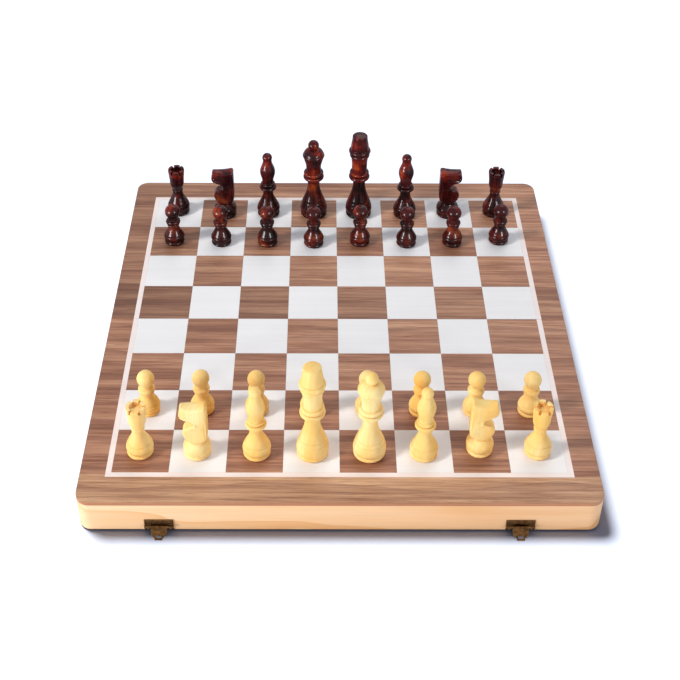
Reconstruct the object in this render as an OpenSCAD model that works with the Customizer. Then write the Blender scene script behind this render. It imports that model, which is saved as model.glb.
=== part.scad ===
// Folding chess box with its set of 32 turned men.
// Two shallow trays carry a chequered panel each and fold together on two butt hinges.
// The box lies open, board up: x to the right, y away from the player, z up.
// The origin is under the middle of the open box, on the surface that it stands on.

/* [Board] */
// Side of one square of the board
cell = 42; // [34:1:60]
// Width of the white line round the 64 squares
line_w = 4.2; // [2:0.2:8]
// Walnut outside the line, left and right
side_margin = 19; // [14:1:36]
// Walnut outside the line, at the near and the far end
end_margin = 24; // [14:1:40]
// Thickness of the veneered panels
panel_t = 3; // [2:0.5:6]
// Depth of the light veneer in the panel
inlay_t = 1; // [0.5:0.1:1.5]
// Corner radius of the open box, seen from above
corner_r = 10; // [4:1:16]

/* [Trays] */
// Thickness of the pine walls
wall_t = 8; // [7:0.5:12]
// Height of the pine walls, without the panel
wall_h = 26; // [18:1:50]
// Thickness of the felt under each panel
felt_t = 1; // [0.5:0.5:2]
// Gap between the two trays at the seam
seam_gap = 0.3; // [0.2:0.1:1]

/* [Hinges] */
// Length of each hinge
hinge_l = 32; // [20:1:50]
// Distance of each hinge from the middle of the seam
hinge_x = 112; // [60:1:140]
// Diameter of the hinge knuckles
hinge_knuckle_d = 4; // [3.6:0.2:5]
// Diameter of the hinge pins
hinge_pin_d = 2; // [1.4:0.2:2.4]
// Width of each leaf, from the pin
leaf_w = 7; // [6:0.5:7]
// Thickness of the leaves
leaf_t = 1; // [0.8:0.1:1.4]
// Length of the hinge screws
screw_l = 9; // [6:1:14]
// Head diameter of the hinge screws
screw_head_d = 3.2; // [2.6:0.2:3.4]
// Shank diameter of the hinge screws
screw_d = 1.6; // [1.2:0.2:2]

/* [Latches] */
// Distance of each latch from the middle of the front
latch_x = 131.5; // [60:0.5:150]
// Width of the latch and catch plates
plate_w = 21.2; // [18:0.2:30]
// Height of the latch plates
plate_h = 10.6; // [7:0.2:12]
// Thickness of the plates and flaps
plate_t = 0.8; // [0.6:0.1:1.2]
// Width of the flaps
flap_w = 11.6; // [9:0.2:13.4]
// Length of the flaps, from the pin to the rolled lip
flap_l = 8.8; // [8.6:0.2:12]
// Height of the latch pins above the rim
latch_pin_z = 5; // [4.4:0.2:6]
// Diameter of the latch knuckles
latch_knuckle_d = 2.2; // [2:0.1:2.6]
// Diameter of the latch pins
latch_pin_d = 1.1; // [0.8:0.1:1.2]
// Height of the catch plates
catch_h = 6.4; // [5:0.2:9]
// Width of the catch lugs
lug_w = 3.2; // [2:0.2:5]
// Distance of the catch lugs from the rim
lug_z = 2; // [1.6:0.1:2.2]
// Reach of the catch lugs, out from their plates
lug_out = 3.2; // [1.6:0.2:4]

/* [Chessmen] */
// Height of the king
king_h = 88; // [84:1:110]
// Base diameter of the king
king_d = 24.4; // [22:0.2:30]
// Height of the queen
queen_h = 81.2; // [76:0.2:100]
// Base diameter of the queen
queen_d = 24.8; // [22:0.2:30]
// Height of the bishops
bishop_h = 67.4; // [60:0.2:80]
// Base diameter of the bishops
bishop_d = 21.2; // [19:0.2:26]
// Height of the knights
knight_h = 50.4; // [46:0.2:62]
// Base diameter of the knights
knight_d = 20.6; // [19:0.2:26]
// Height of the rooks
rook_h = 47.6; // [44:0.2:60]
// Base diameter of the rooks
rook_d = 20.4; // [19:0.2:26]
// Height of the pawns
pawn_h = 40.2; // [36:0.2:50]
// Base diameter of the pawns
pawn_d = 18.4; // [17:0.2:24]

/* [Hidden] */
$fn = 48;
over = 1;
fit = 0.05;
play = 0.2;
rank_squares = 8;

// Heights, from the surface that the box stands on
rim_z = hinge_knuckle_d / 2;
panel_z = rim_z + wall_h;
top_z = panel_z + panel_t;

// The open box from above
grid = cell * rank_squares / 2;
half_w = grid + line_w + side_margin;
half_d = grid + line_w + end_margin;
seam_y = seam_gap / 2;
inlay_joint = 0.05;

// Hinge, across the pin
knuckles = 5;
knuckle_l = hinge_l / knuckles;
groove_r = rim_z + 0.3;
leaf_gap = 0.1;
screw_x = hinge_l * 0.32;
screw_y = (groove_r + leaf_w) / 2;
screw_head_h = (screw_head_d - screw_d) / 2;

// Latch, out from the face of the wall and up from the rim
knuckle_r = latch_knuckle_d / 2;
running = 0.1;
pin_out = plate_t + running + knuckle_r;
pin_z = rim_z + latch_pin_z;
lip_r = 0.7;
lip_in = knuckle_r - lip_r;
table_gap = 0.15;
flap_rest = atan2(lip_in, flap_l)
    + acos((pin_z - lip_r - table_gap) / norm([lip_in, flap_l]));
dimple_d = 2;
lip_w = 0.5 * flap_w;
lug_t = 1;
slot_play = 0.4;
nail_x = (plate_w + flap_w) / 4;
nail_z = 1.7;
nail_d = 1;
nail_head_d = 1.7;
nail_head_h = 0.4;
nail_l = 5;

// The men, column by column from the left of the near player
BACK_RANK = ["rook_left", "knight_left", "bishop_left", "king",
             "queen", "bishop_right", "knight_right", "rook_right"];
DARK_RANK = ["rook_left", "knight_left", "bishop_left", "queen",
             "king", "bishop_right", "knight_right", "rook_right"];

// How far each man was set down from the middle of its square, to the right and away
BACK_OFF = [[-1.8, -0.4], [-1.1, -1], [1.3, -1.3], [0.8, -0.6],
            [1.2, -0.7], [-0.3, -2], [-0.3, 2.2], [1, 0]];
PAWN_OFF = [[-0.4, 0], [-0.6, 0.7], [-0.3, 0], [0, 0.3],
            [0.5, 0], [0, -0.4], [-0.3, -0.7], [0.2, -0.6]];
DARK_BACK_OFF = [[-1, 4.2], [1.2, 0], [-0.6, 1.3], [-0.3, 1.9],
                 [-0.3, 1.6], [0.8, 0], [-1, 1], [0.5, 2.8]];
DARK_PAWN_OFF = [[-0.8, 0.5], [0, -0.9], [0, -1], [0, -2.4],
                 [0, -0.2], [0.2, -2], [0, -0.8], [0.7, 2.4]];

LIGHT = "#f3d591";
DARK = "#5a1a12";
PINE = "#f3c795";
WALNUT = "#a0755c";
BRASS = "#6b5133";

BOX_NODES = [
    "near_panel", "far_panel", "near_light_squares", "far_light_squares",
    "near_border_line", "far_border_line",
    "near_end_wall", "near_seam_wall", "near_left_wall", "near_right_wall",
    "far_end_wall", "far_seam_wall", "far_left_wall", "far_right_wall",
    "near_lining", "far_lining",
    "near_hinge_leaves", "far_hinge_leaves", "hinge_pins",
    "near_hinge_screws", "far_hinge_screws",
    "latch_plates", "latch_flap_left", "latch_flap_right", "latch_pins",
    "latch_nails", "catch_plates", "catch_nails"];

// ---- One tray, drawn on the far side of the seam; the near one is its mirror image ----

module near() { mirror([0, 1, 0]) children(); }

module both_sides(x) {
    for (side = [-1, 1]) translate([side * x, 0, 0]) children();
}

module outline() {
    translate([-half_w, seam_y]) square([2 * half_w, half_d - corner_r - seam_y]);
    translate([corner_r - half_w, seam_y]) square([2 * (half_w - corner_r), half_d - seam_y]);
    for (side = [-1, 1]) translate([side * (half_w - corner_r), half_d - corner_r]) circle(corner_r);
}

// Light squares of four ranks, counted from the seam; first_light is 0 or 1
module light_squares_2d(first_light) {
    for (col = [0:rank_squares - 1], row = [0:rank_squares / 2 - 1])
        if ((col + row) % 2 == first_light) {
            start = row == 0 ? seam_y : row * cell + inlay_joint;
            translate([col * cell - grid + inlay_joint, start])
                square([cell - 2 * inlay_joint, (row + 1) * cell - inlay_joint - start]);
        }
}

module border_line_2d() {
    difference() {
        translate([-grid - line_w, seam_y]) square([2 * (grid + line_w), grid + line_w - seam_y]);
        translate([-grid, 0]) square([2 * grid, grid]);
    }
}

module inlay(t) {
    translate([0, 0, top_z - t]) linear_extrude(t) children();
}

module panel(first_light) {
    color(WALNUT) difference() {
        translate([0, 0, panel_z]) linear_extrude(panel_t) outline();
        translate([0, 0, top_z - inlay_t]) linear_extrude(inlay_t + over) {
            light_squares_2d(first_light);
            border_line_2d();
        }
    }
}

module light_squares(first_light) {
    color("#ecebe7") inlay(inlay_t) light_squares_2d(first_light);
}

module border_line() {
    color("#fbeee8") inlay(inlay_t) border_line_2d();
}

// A wall is the part of the frame inside its mitred corner points
module wall(corners) {
    color(PINE) translate([0, 0, rim_z]) linear_extrude(wall_h) intersection() {
        outline();
        polygon(corners);
    }
}

// The end wall takes the nails of the latches or the catches
module end_wall(nails_at) {
    difference() {
        wall([[-half_w, half_d], [half_w, half_d],
              [half_w - wall_t, half_d - wall_t], [wall_t - half_w, half_d - wall_t]]);
        at_latches() nail_holes(nails_at);
    }
}

module side_wall(side) {
    wall([[side * half_w, seam_y], [side * half_w, half_d],
          [side * (half_w - wall_t), half_d - wall_t], [side * (half_w - wall_t), seam_y + wall_t]]);
}

module seam_wall() {
    difference() {
        wall([[-half_w, seam_y], [half_w, seam_y],
              [half_w - wall_t, seam_y + wall_t], [wall_t - half_w, seam_y + wall_t]]);
        both_sides(hinge_x) {
            leaf_mortise();
            for (x = [-screw_x, screw_x])
                translate([x, screw_y, rim_z]) cylinder(h = screw_l + play, d = screw_d + 2 * fit);
        }
    }
}

module lining() {
    inner_w = half_w - wall_t - play;
    color("#6b1f2a") translate([-inner_w, seam_y + wall_t + play, panel_z - felt_t])
        cube([2 * inner_w, half_d - seam_y - 2 * (wall_t + play), felt_t]);
}

// ---- Hinges: the pin lies in the plane of the rims, so the trays close face to face ----

module along_x(l, d) { rotate([0, 90, 0]) cylinder(h = l, d = d); }

module leaf_mortise() {
    l = hinge_l + 2 * play;
    translate([-l / 2, 0, rim_z - over]) cube([l, leaf_w + play, over + leaf_gap + leaf_t]);
    translate([-l / 2 - over / 2, 0, rim_z]) along_x(l + over, 2 * groove_r);
}

// The leaf carries every second knuckle, from first to the end of the pin
module hinge_leaf(first) {
    z = rim_z + leaf_gap;
    difference() {
        union() {
            translate([-hinge_l / 2, groove_r, z]) cube([hinge_l, leaf_w - groove_r, leaf_t]);
            for (k = [first:2:knuckles - 1])
                translate([k * knuckle_l - hinge_l / 2 + play / 2, 0, rim_z]) {
                    along_x(knuckle_l - play, hinge_knuckle_d);
                    translate([0, 0, leaf_gap]) cube([knuckle_l - play, groove_r + over, leaf_t]);
                }
        }
        translate([-hinge_l / 2 - over, 0, rim_z])
            along_x(hinge_l + 2 * over, hinge_pin_d + 2 * fit);
        for (x = [-screw_x, screw_x]) translate([x, screw_y, z]) {
            cylinder(h = screw_head_h, d1 = screw_head_d + 2 * fit, d2 = screw_d + 2 * fit);
            cylinder(h = leaf_t + over, d = screw_d + 2 * fit);
        }
    }
}

module hinge_leaves(first) {
    color(BRASS) both_sides(hinge_x) hinge_leaf(first);
}

module hinge_pins() {
    color("#8a8070") both_sides(hinge_x)
        translate([-hinge_l / 2, 0, rim_z]) along_x(hinge_l, hinge_pin_d);
}

// Countersunk wood screw, head down and flush with the leaf
module hinge_screw() {
    tip = screw_d;
    difference() {
        union() {
            cylinder(h = screw_head_h, d1 = screw_head_d, d2 = screw_d);
            cylinder(h = screw_l - tip, d = screw_d);
            translate([0, 0, screw_l - tip]) cylinder(h = tip, d1 = screw_d, d2 = screw_d / 8);
        }
        translate([0, 0, screw_head_h / 4])
            cube([screw_head_d + over, screw_d / 3, screw_head_h], center = true);
    }
}

module hinge_screws() {
    color(BRASS) both_sides(hinge_x)
        for (x = [-screw_x, screw_x]) translate([x, screw_y, rim_z + leaf_gap]) hinge_screw();
}

// ---- Latches on the near end wall and catches on the far one, drawn with y out of the wall ----

module at_latches() {
    both_sides(latch_x) translate([0, half_d, rim_z]) children();
}

module latch_plates() {
    lug_l = (plate_w - flap_w) / 2 - running - play;
    color(BRASS) near() at_latches() difference() {
        union() {
            translate([-plate_w / 2, 0, play]) cube([plate_w, plate_t, plate_h]);
            for (x = [-plate_w / 2, plate_w / 2 - lug_l]) translate([x, 0, latch_pin_z]) {
                translate([0, pin_out, 0]) along_x(lug_l, latch_knuckle_d);
                translate([0, 0, -knuckle_r]) cube([lug_l, pin_out, latch_knuckle_d]);
            }
        }
        translate([-plate_w / 2 - over, pin_out, latch_pin_z])
            along_x(plate_w + 2 * over, latch_pin_d + 2 * fit);
        nail_holes(nail_z);
    }
}

module latch_pins() {
    color("#8a8070") near() at_latches()
        translate([-plate_w / 2, pin_out, latch_pin_z]) along_x(plate_w, latch_pin_d);
}

// Outline of the flap: straight below the pin and rounded at its end
module tongue_2d() {
    end_r = flap_w / 2;
    intersection() {
        translate([-end_r, -flap_l]) square([flap_w, flap_l]);
        union() {
            translate([-end_r, end_r - flap_l]) square([flap_w, flap_l]);
            translate([0, end_r - flap_l]) circle(end_r);
        }
    }
}

// The flap hangs from its pin; it rests swung out, with its rolled lip on the table
module flap() {
    color(BRASS) near() translate([0, half_d + pin_out, pin_z]) rotate([flap_rest, 0, 0]) difference() {
        union() {
            translate([-flap_w / 2, 0, 0]) along_x(flap_w, latch_knuckle_d);
            translate([0, plate_t - knuckle_r, 0]) rotate([90, 0, 0]) linear_extrude(plate_t) tongue_2d();
            translate([-lip_w / 2, -lip_in, -flap_l]) along_x(lip_w, 2 * lip_r);
            translate([0, plate_t - knuckle_r, -flap_l / 3]) outwards()
                cylinder(h = plate_t / 2, d1 = dimple_d, d2 = dimple_d / 2);
        }
        translate([-flap_w, 0, 0]) along_x(2 * flap_w, latch_pin_d + 2 * fit);
        translate([-lug_w / 2 - slot_play, -knuckle_r - over, -latch_pin_z - lug_z - lug_t / 2 - slot_play])
            cube([lug_w + 2 * slot_play, plate_t + 2 * over, lug_t + 2 * slot_play]);
    }
}

module latch_flap_left() { translate([-latch_x, 0, 0]) flap(); }
module latch_flap_right() { translate([latch_x, 0, 0]) flap(); }

module catch_plates() {
    color(BRASS) at_latches() difference() {
        union() {
            translate([-plate_w / 2, 0, play]) cube([plate_w, plate_t, catch_h]);
            translate([-lug_w / 2, 0, lug_z - lug_t / 2]) cube([lug_w, plate_t + lug_out, lug_t]);
        }
        nail_holes(nail_z + lug_z);
    }
}

module outwards() { rotate([-90, 0, 0]) children(); }

module nail_holes(z) {
    both_sides(nail_x) translate([0, -nail_l, z]) outwards()
        cylinder(h = nail_l + plate_t + over, d = nail_d + 2 * fit);
}

// Domed nail, driven through a plate into the wall
module nail() {
    translate([0, plate_t, 0]) outwards()
        cylinder(h = nail_head_h, d1 = nail_head_d, d2 = nail_head_d * 0.6);
    translate([0, plate_t - nail_l, 0]) outwards() cylinder(h = nail_l, d = nail_d);
}

module nails(z) {
    color("#9c8a66") at_latches() both_sides(nail_x) translate([0, 0, z]) nail();
}

// ---- Turned profiles: each is drawn right of the axis, radius across and height up ----

// From radius r1 at z1 to radius r2 at z2 along half a cosine wave; above 1, lean keeps r1 longer
module sweep_2d(z1, r1, z2, r2, lean = 1) {
    steps = 10;
    polygon(concat([[0, z1]],
        [for (i = [0:steps]) let (t = i / steps)
            [r2 + (r1 - r2) * (1 + cos(180 * pow(t, lean))) / 2, z1 + (z2 - z1) * t]],
        [[0, z2]]));
}

// Disc with a half-round edge
module bead_2d(z, r, t) {
    translate([0, z - t / 2]) square([r - t / 2, t]);
    translate([r - t / 2, z]) circle(t / 2);
}

// Dome of radius r and height h, standing on z
module dome_2d(z, r, h) {
    polygon(concat([[0, z]], [for (a = [0:10:90]) [r * cos(a), z + h * sin(a)]]));
}

module turned() {
    rotate_extrude() intersection() {
        children();
        square([cell / 2, 2 * king_h]);
    }
}

// Foot ring, groove and bell: the bell swells over the groove and ends in a neck of radius
// neck_r at neck_z
module base_2d(d, neck_r, neck_z) {
    r = d / 2;
    ring = 3.2;
    full_z = 6.6;
    bell_lean = 0.88;
    bead_2d(ring / 2, r - 0.3, ring);
    square([r - ring / 2, ring / 2]);
    translate([0, ring / 2]) square([r - 1.3, ring]);
    sweep_2d(ring + 0.7, r - 0.9, full_z, r);
    sweep_2d(full_z, r, neck_z, neck_r, bell_lean);
}

module pawn() {
    neck_z = 0.475 * pawn_h;
    neck_r = 4.6;
    ball_r = 6.7;
    turned() {
        base_2d(pawn_d, neck_r, neck_z);
        bead_2d(neck_z + 0.8, neck_r + 1.1, 1.8);
        bead_2d(neck_z + 3.8, neck_r + 1.9, 4.6);
        translate([0, neck_z]) square([neck_r, pawn_h - ball_r - neck_z]);
        translate([0, pawn_h - ball_r]) circle(ball_r);
    }
}

module rook() {
    neck_z = 0.51 * rook_h;
    cup_z = 0.72 * rook_h;
    neck_r = 4.3;
    cup_r = 4.6;
    cup_deep = 4;
    saw_w = 1.6;
    saw_deep = 2.8;
    difference() {
        turned() {
            base_2d(rook_d, neck_r, neck_z);
            bead_2d(neck_z + 0.8, neck_r + 0.8, 1.8);
            sweep_2d(neck_z, neck_r, cup_z, 6.5);
            sweep_2d(cup_z, 6.5, rook_h, 7.4);
        }
        translate([0, 0, rook_h - cup_deep]) cylinder(h = cup_deep + over, r = cup_r);
        for (a = [0, 60, 120])
            rotate(a) translate([-rook_d / 2, -saw_w / 2, rook_h - saw_deep])
                cube([rook_d, saw_w, saw_deep + over]);
    }
}

module bishop() {
    neck_z = 0.364 * bishop_h;
    low_z = 0.552 * bishop_h;
    wide_z = 0.712 * bishop_h;
    neck_r = 4.7;
    ball_r = 4.5;
    saw_w = 1;
    difference() {
        turned() {
            base_2d(bishop_d, neck_r, neck_z);
            sweep_2d(neck_z, neck_r, low_z, 5.1);
            bead_2d(neck_z + 6.2, 7.9, 3.8);
            bead_2d(neck_z + 9.6, 6.6, 2.8);
            sweep_2d(low_z, 5.1, wide_z, 7);
            sweep_2d(wide_z, 7, bishop_h - 1.6 * ball_r, 4);
            translate([0, bishop_h - ball_r]) circle(ball_r);
        }
        translate([1.5, 0, wide_z + 1]) rotate([0, -50, 0])
            translate([0, -bishop_d / 2, -saw_w / 2]) cube([bishop_d / 2, bishop_d, saw_w]);
    }
}

module queen() {
    neck_z = 0.418 * queen_h;
    waist_z = 0.66 * queen_h;
    crown_z = 0.808 * queen_h;
    neck_r = 5.5;
    ball_r = 5;
    turned() {
        base_2d(queen_d, neck_r, neck_z);
        sweep_2d(neck_z, neck_r, waist_z, 6.9);
        bead_2d(neck_z + 8.2, 9.5, 4.2);
        bead_2d(neck_z + 12.2, 9.1, 3.8);
        sweep_2d(waist_z, 6.9, crown_z, 9.2, 0.9);
        bead_2d(crown_z, 10, 4.4);
        dome_2d(crown_z + 1, 9.3, queen_h - 2 * ball_r - crown_z + 1);
        translate([0, queen_h - ball_r]) circle(ball_r);
    }
}

module king() {
    neck_z = 0.398 * king_h;
    waist_z = 0.645 * king_h;
    crown_z = 0.805 * king_h;
    neck_r = 5.6;
    cap_r = 6.8;
    cap_h = 1.6;
    turned() {
        base_2d(king_d, neck_r, neck_z);
        sweep_2d(neck_z, neck_r, waist_z, 7.1);
        bead_2d(neck_z + 7.7, 9.6, 4.4);
        bead_2d(neck_z + 11.8, 8.9, 3.8);
        sweep_2d(waist_z, 7.1, crown_z, 8.4);
        bead_2d(crown_z - 4.4, 9, 3.2);
        bead_2d(crown_z, 9.9, 4.4);
        sweep_2d(crown_z + 1.6, 8.2, king_h - cap_h, cap_r, 1.2);
        dome_2d(king_h - cap_h, cap_r, cap_h);
    }
}

// Carved knight: a slab cut to the profile of a horse's head, on a turned base
module knight() {
    seat_z = 15;
    turned() {
        base_2d(knight_d, 6.4, seat_z);
        bead_2d(seat_z - 0.6, 7.8, 2.8);
    }
    difference() {
        intersection() {
            rotate([90, 0, 0]) linear_extrude(12, center = true) knight_side_2d(seat_z - 1);
            linear_extrude(knight_h) knight_top_2d();
        }
        // Flutes of the mane
        for (side = [-1, 1], x = [-7, -4, -1])
            translate([x, side * 6.2, seat_z + 3]) cylinder(h = knight_h, r = 1.1);
        // Eyes, nostrils and mouth
        for (side = [-1, 1]) {
            translate([2.6, side * 5.6, knight_h - 5.6]) sphere(1.3);
            translate([9.6, side * 4.2, knight_h - 7.7]) sphere(0.7);
            translate([10, side * 5.2, knight_h - 10.8]) rotate([0, 8, 0])
                cube([7, 3, 0.7], center = true);
        }
    }
}

// Profile of the horse's head, facing +x, from z0 up: nape, poll and face, then the hollow of
// the throat and the breast
module knight_side_2d(z0) {
    top = knight_h;
    throat = [5, top - 18.8];
    throat_r = 4.4;
    nape = [[-6, z0], [-8, z0 + 4], [-8.8, z0 + 10], [-8.7, top - 6], [-8.2, top - 1]];
    poll = [[-7.2, top], [-5.4, top - 0.3], [-3, top - 1.1], [2, top - 1.6], [6.5, top - 1.2]];
    face = [[9.4, top - 0.5], [10.4, top - 1.3], [11, top - 5.2], [11.6, top - 9.2]];
    chin = [[10.8, top - 11.8], [8.6, top - 12.8]];
    breast = [[3.6, top - 20.6], [8, top - 22.6], [9.7, top - 25.4], [9.6, top - 28.6],
              [8.6, top - 32], [6, z0]];
    polygon(concat(nape, poll, face, chin,
        [for (a = [90:15:180]) throat + throat_r * [cos(a), sin(a)]], breast));
}

// The slab from above: full at the mane and narrowing to the muzzle
module knight_top_2d() {
    polygon([[-11, -4.6], [-7, -5.6], [0, -5.6], [6, -5], [12, -3.8],
             [12, 3.8], [6, 5], [0, 5.6], [-7, 5.6], [-11, 4.6]]);
}

// ---- The set, standing on its squares ----

module on_square(col, row, off) {
    translate([(col + 0.5) * cell - grid + off[0], (row + 0.5) * cell - grid + off[1], top_z])
        children();
}

module light_man(col) { color(LIGHT) on_square(col, 0, BACK_OFF[col]) back_man(BACK_RANK[col]); }
module light_pawn(col) { color(LIGHT) on_square(col, 1, PAWN_OFF[col]) pawn(); }
module dark_man(col) { color(DARK) on_square(col, 7, DARK_BACK_OFF[col]) back_man(DARK_RANK[col]); }
module dark_pawn(col) { color(DARK) on_square(col, 6, DARK_PAWN_OFF[col]) pawn(); }

module back_man(name) {
    if (name == "king") king();
    if (name == "queen") queen();
    if (name == "rook_left" || name == "rook_right") rook();
    if (name == "bishop_left" || name == "bishop_right") bishop();
    if (name == "knight_left") rotate(180) knight();
    if (name == "knight_right") knight();
}

near() panel(0);  // near_panel
panel(1);  // far_panel
near() light_squares(0);  // near_light_squares
light_squares(1);  // far_light_squares
near() border_line();  // near_border_line
border_line();  // far_border_line
near() end_wall(nail_z);  // near_end_wall
near() seam_wall();  // near_seam_wall
near() side_wall(-1);  // near_left_wall
near() side_wall(1);  // near_right_wall
end_wall(nail_z + lug_z);  // far_end_wall
seam_wall();  // far_seam_wall
side_wall(-1);  // far_left_wall
side_wall(1);  // far_right_wall
near() lining();  // near_lining
lining();  // far_lining
near() hinge_leaves(0);  // near_hinge_leaves
hinge_leaves(1);  // far_hinge_leaves
hinge_pins();
near() hinge_screws();  // near_hinge_screws
hinge_screws();  // far_hinge_screws
latch_plates();
latch_flap_left();
latch_flap_right();
latch_pins();
near() nails(nail_z);  // latch_nails
catch_plates();
nails(nail_z + lug_z);  // catch_nails
for (col = [0:rank_squares - 1]) {
    light_man(col);
    light_pawn(col);
    dark_man(col);
    dark_pawn(col);
}
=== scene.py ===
"""Folding chess box with 32 turned men: the finish of every piece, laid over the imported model."""

import math

import bmesh
import bpy
import numpy as np
from mathutils import Matrix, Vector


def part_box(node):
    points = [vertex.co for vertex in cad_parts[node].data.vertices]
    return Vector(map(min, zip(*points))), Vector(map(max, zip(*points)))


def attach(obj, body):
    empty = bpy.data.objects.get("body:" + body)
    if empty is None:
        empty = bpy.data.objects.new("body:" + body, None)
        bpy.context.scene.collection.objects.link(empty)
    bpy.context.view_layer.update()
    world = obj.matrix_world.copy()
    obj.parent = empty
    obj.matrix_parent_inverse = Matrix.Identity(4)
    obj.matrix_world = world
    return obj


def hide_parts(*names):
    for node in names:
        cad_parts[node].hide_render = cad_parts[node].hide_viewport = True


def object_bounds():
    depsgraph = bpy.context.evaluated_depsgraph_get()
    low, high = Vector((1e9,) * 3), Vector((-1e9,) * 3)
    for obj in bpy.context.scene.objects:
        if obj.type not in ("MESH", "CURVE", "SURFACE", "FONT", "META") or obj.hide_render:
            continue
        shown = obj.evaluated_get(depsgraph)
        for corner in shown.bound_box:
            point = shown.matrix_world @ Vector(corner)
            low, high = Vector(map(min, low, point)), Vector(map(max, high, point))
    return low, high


# ---- Camera ----
# The photographer stands at the near end and looks down on the open board. Place, angles and
# the shift of the picture were solved from the corners of the 64 squares and the men's heights.

CAMERA_AT = (-0.0140, -0.7818, 0.7356)
LOOKS_DOWN, TURNED, TILTED = (math.radians(a) for a in (36.059, -0.308, 0.325))
LENS, SENSOR = 65.60, 36.0
SHIFT_X, SHIFT_Y = 0.01927, -0.22159

camera = bpy.data.objects.new("camera", bpy.data.cameras.new("camera"))
camera.data.lens, camera.data.sensor_width = LENS, SENSOR
camera.data.shift_x, camera.data.shift_y = SHIFT_X, SHIFT_Y
camera.matrix_world = (
    Matrix.Translation(CAMERA_AT)
    @ Matrix.Rotation(TURNED, 4, "Z")
    @ Matrix.Rotation(math.pi / 2 - LOOKS_DOWN, 4, "X")
    @ Matrix.Rotation(TILTED, 4, "Z")
)
bpy.context.scene.collection.objects.link(camera)
bpy.context.scene.camera = camera
bpy.context.scene.view_settings.view_transform = "Standard"

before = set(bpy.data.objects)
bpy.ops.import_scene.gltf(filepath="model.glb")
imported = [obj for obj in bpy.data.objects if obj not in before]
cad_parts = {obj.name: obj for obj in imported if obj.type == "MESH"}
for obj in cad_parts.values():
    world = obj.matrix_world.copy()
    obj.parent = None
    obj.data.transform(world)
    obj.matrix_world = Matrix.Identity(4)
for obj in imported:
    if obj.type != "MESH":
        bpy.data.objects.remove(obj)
cad_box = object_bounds()
BOARD_LEFT, BOARD_RIGHT = float(cad_box[0][0]), float(cad_box[1][0])


# ---- Tray walls ----
# Each tray is a frame of sawn pine, mitred and glued at the corners and left clear.
# The faces are flat-sawn, so the rings come out as long pale flames along each wall.

def screen(red, green, blue):
    """A colour as a screen shows it, 0 to 255, in the linear values that a shader takes."""
    linear = (((v / 255 + 0.055) / 1.055) ** 2.4 if v > 10 else v / 3294.6 for v in (red, green, blue))
    return (*linear, 1)


def put(tree, kind, inputs=(), **settings):
    """Adds a shader node. Settings in lower case are its properties, the others its inputs."""
    node = tree.nodes.new("ShaderNode" + kind)
    named = [(n.replace("_", " "), v) for n, v in settings.items() if n[0].isupper()]
    for name, value in settings.items():
        if name[0].islower():
            setattr(node, name, value)
    for key, value in [*inputs, *named]:
        if isinstance(value, bpy.types.NodeSocket):
            tree.links.new(value, node.inputs[key])
        else:
            node.inputs[key].default_value = value
    return node


def calc(tree, operation, *terms):
    """One sum on numbers or sockets."""
    return put(tree, "Math", enumerate(terms), operation=operation).outputs[0]


def spread(tree, value, low, high):
    """A value from 0 to 1 carried over to the range from low to high."""
    return put(tree, "MapRange", Value=value, To_Min=low, To_Max=high).outputs[0]


def between(tree, value, start, end, low, high):
    """A value carried over from the range start to end to the range low to high, and held there."""
    return put(tree, "MapRange", Value=value, From_Min=start, From_Max=end, To_Min=low,
               To_Max=high).outputs[0]


def ramp(tree, value, *stops):
    """Colours along a value from 0 to 1: each stop is a place and a colour."""
    node = put(tree, "ValToRGB", Fac=value)
    for place, _ in stops[2:]:
        node.color_ramp.elements.new(place)
    for element, (place, colour) in zip(node.color_ramp.elements, sorted(stops)):
        element.position = place
        element.color = colour
    return node.outputs[0]


def tinted(tree, factor, under, over, how="MIX"):
    """Lays one colour over another by a factor."""
    node = put(tree, "Mix", [(0, factor), (6, under), (7, over)], data_type="RGBA", blend_type=how)
    return node.outputs[2]


def cloud(tree, where, size, detail=3.0, roughness=0.55):
    """Noise from 0 to 1 with one lump per unit of each axis of where, times size."""
    return put(tree, "TexNoise", Vector=where, Scale=size, Detail=detail, Roughness=roughness).outputs[0]


def stretched(tree, where, along, across):
    """Coordinates for a grain along x: along and across are lumps per metre."""
    return put(tree, "Mapping", Vector=where, Scale=(along, across, across)).outputs[0]


def open_group(name, inputs, outputs):
    """An empty node group, with the sockets of its two ends."""
    group = bpy.data.node_groups.new(name, "ShaderNodeTree")
    for label, kind, value in inputs:
        socket = group.interface.new_socket(label, in_out="INPUT", socket_type="NodeSocket" + kind)
        if value is not None:
            socket.default_value = value
    for label, kind in outputs:
        group.interface.new_socket(label, in_out="OUTPUT", socket_type="NodeSocket" + kind)
    ends = group.nodes.new("NodeGroupInput"), group.nodes.new("NodeGroupOutput")
    return group, ends[0].outputs, ends[1].inputs


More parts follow.
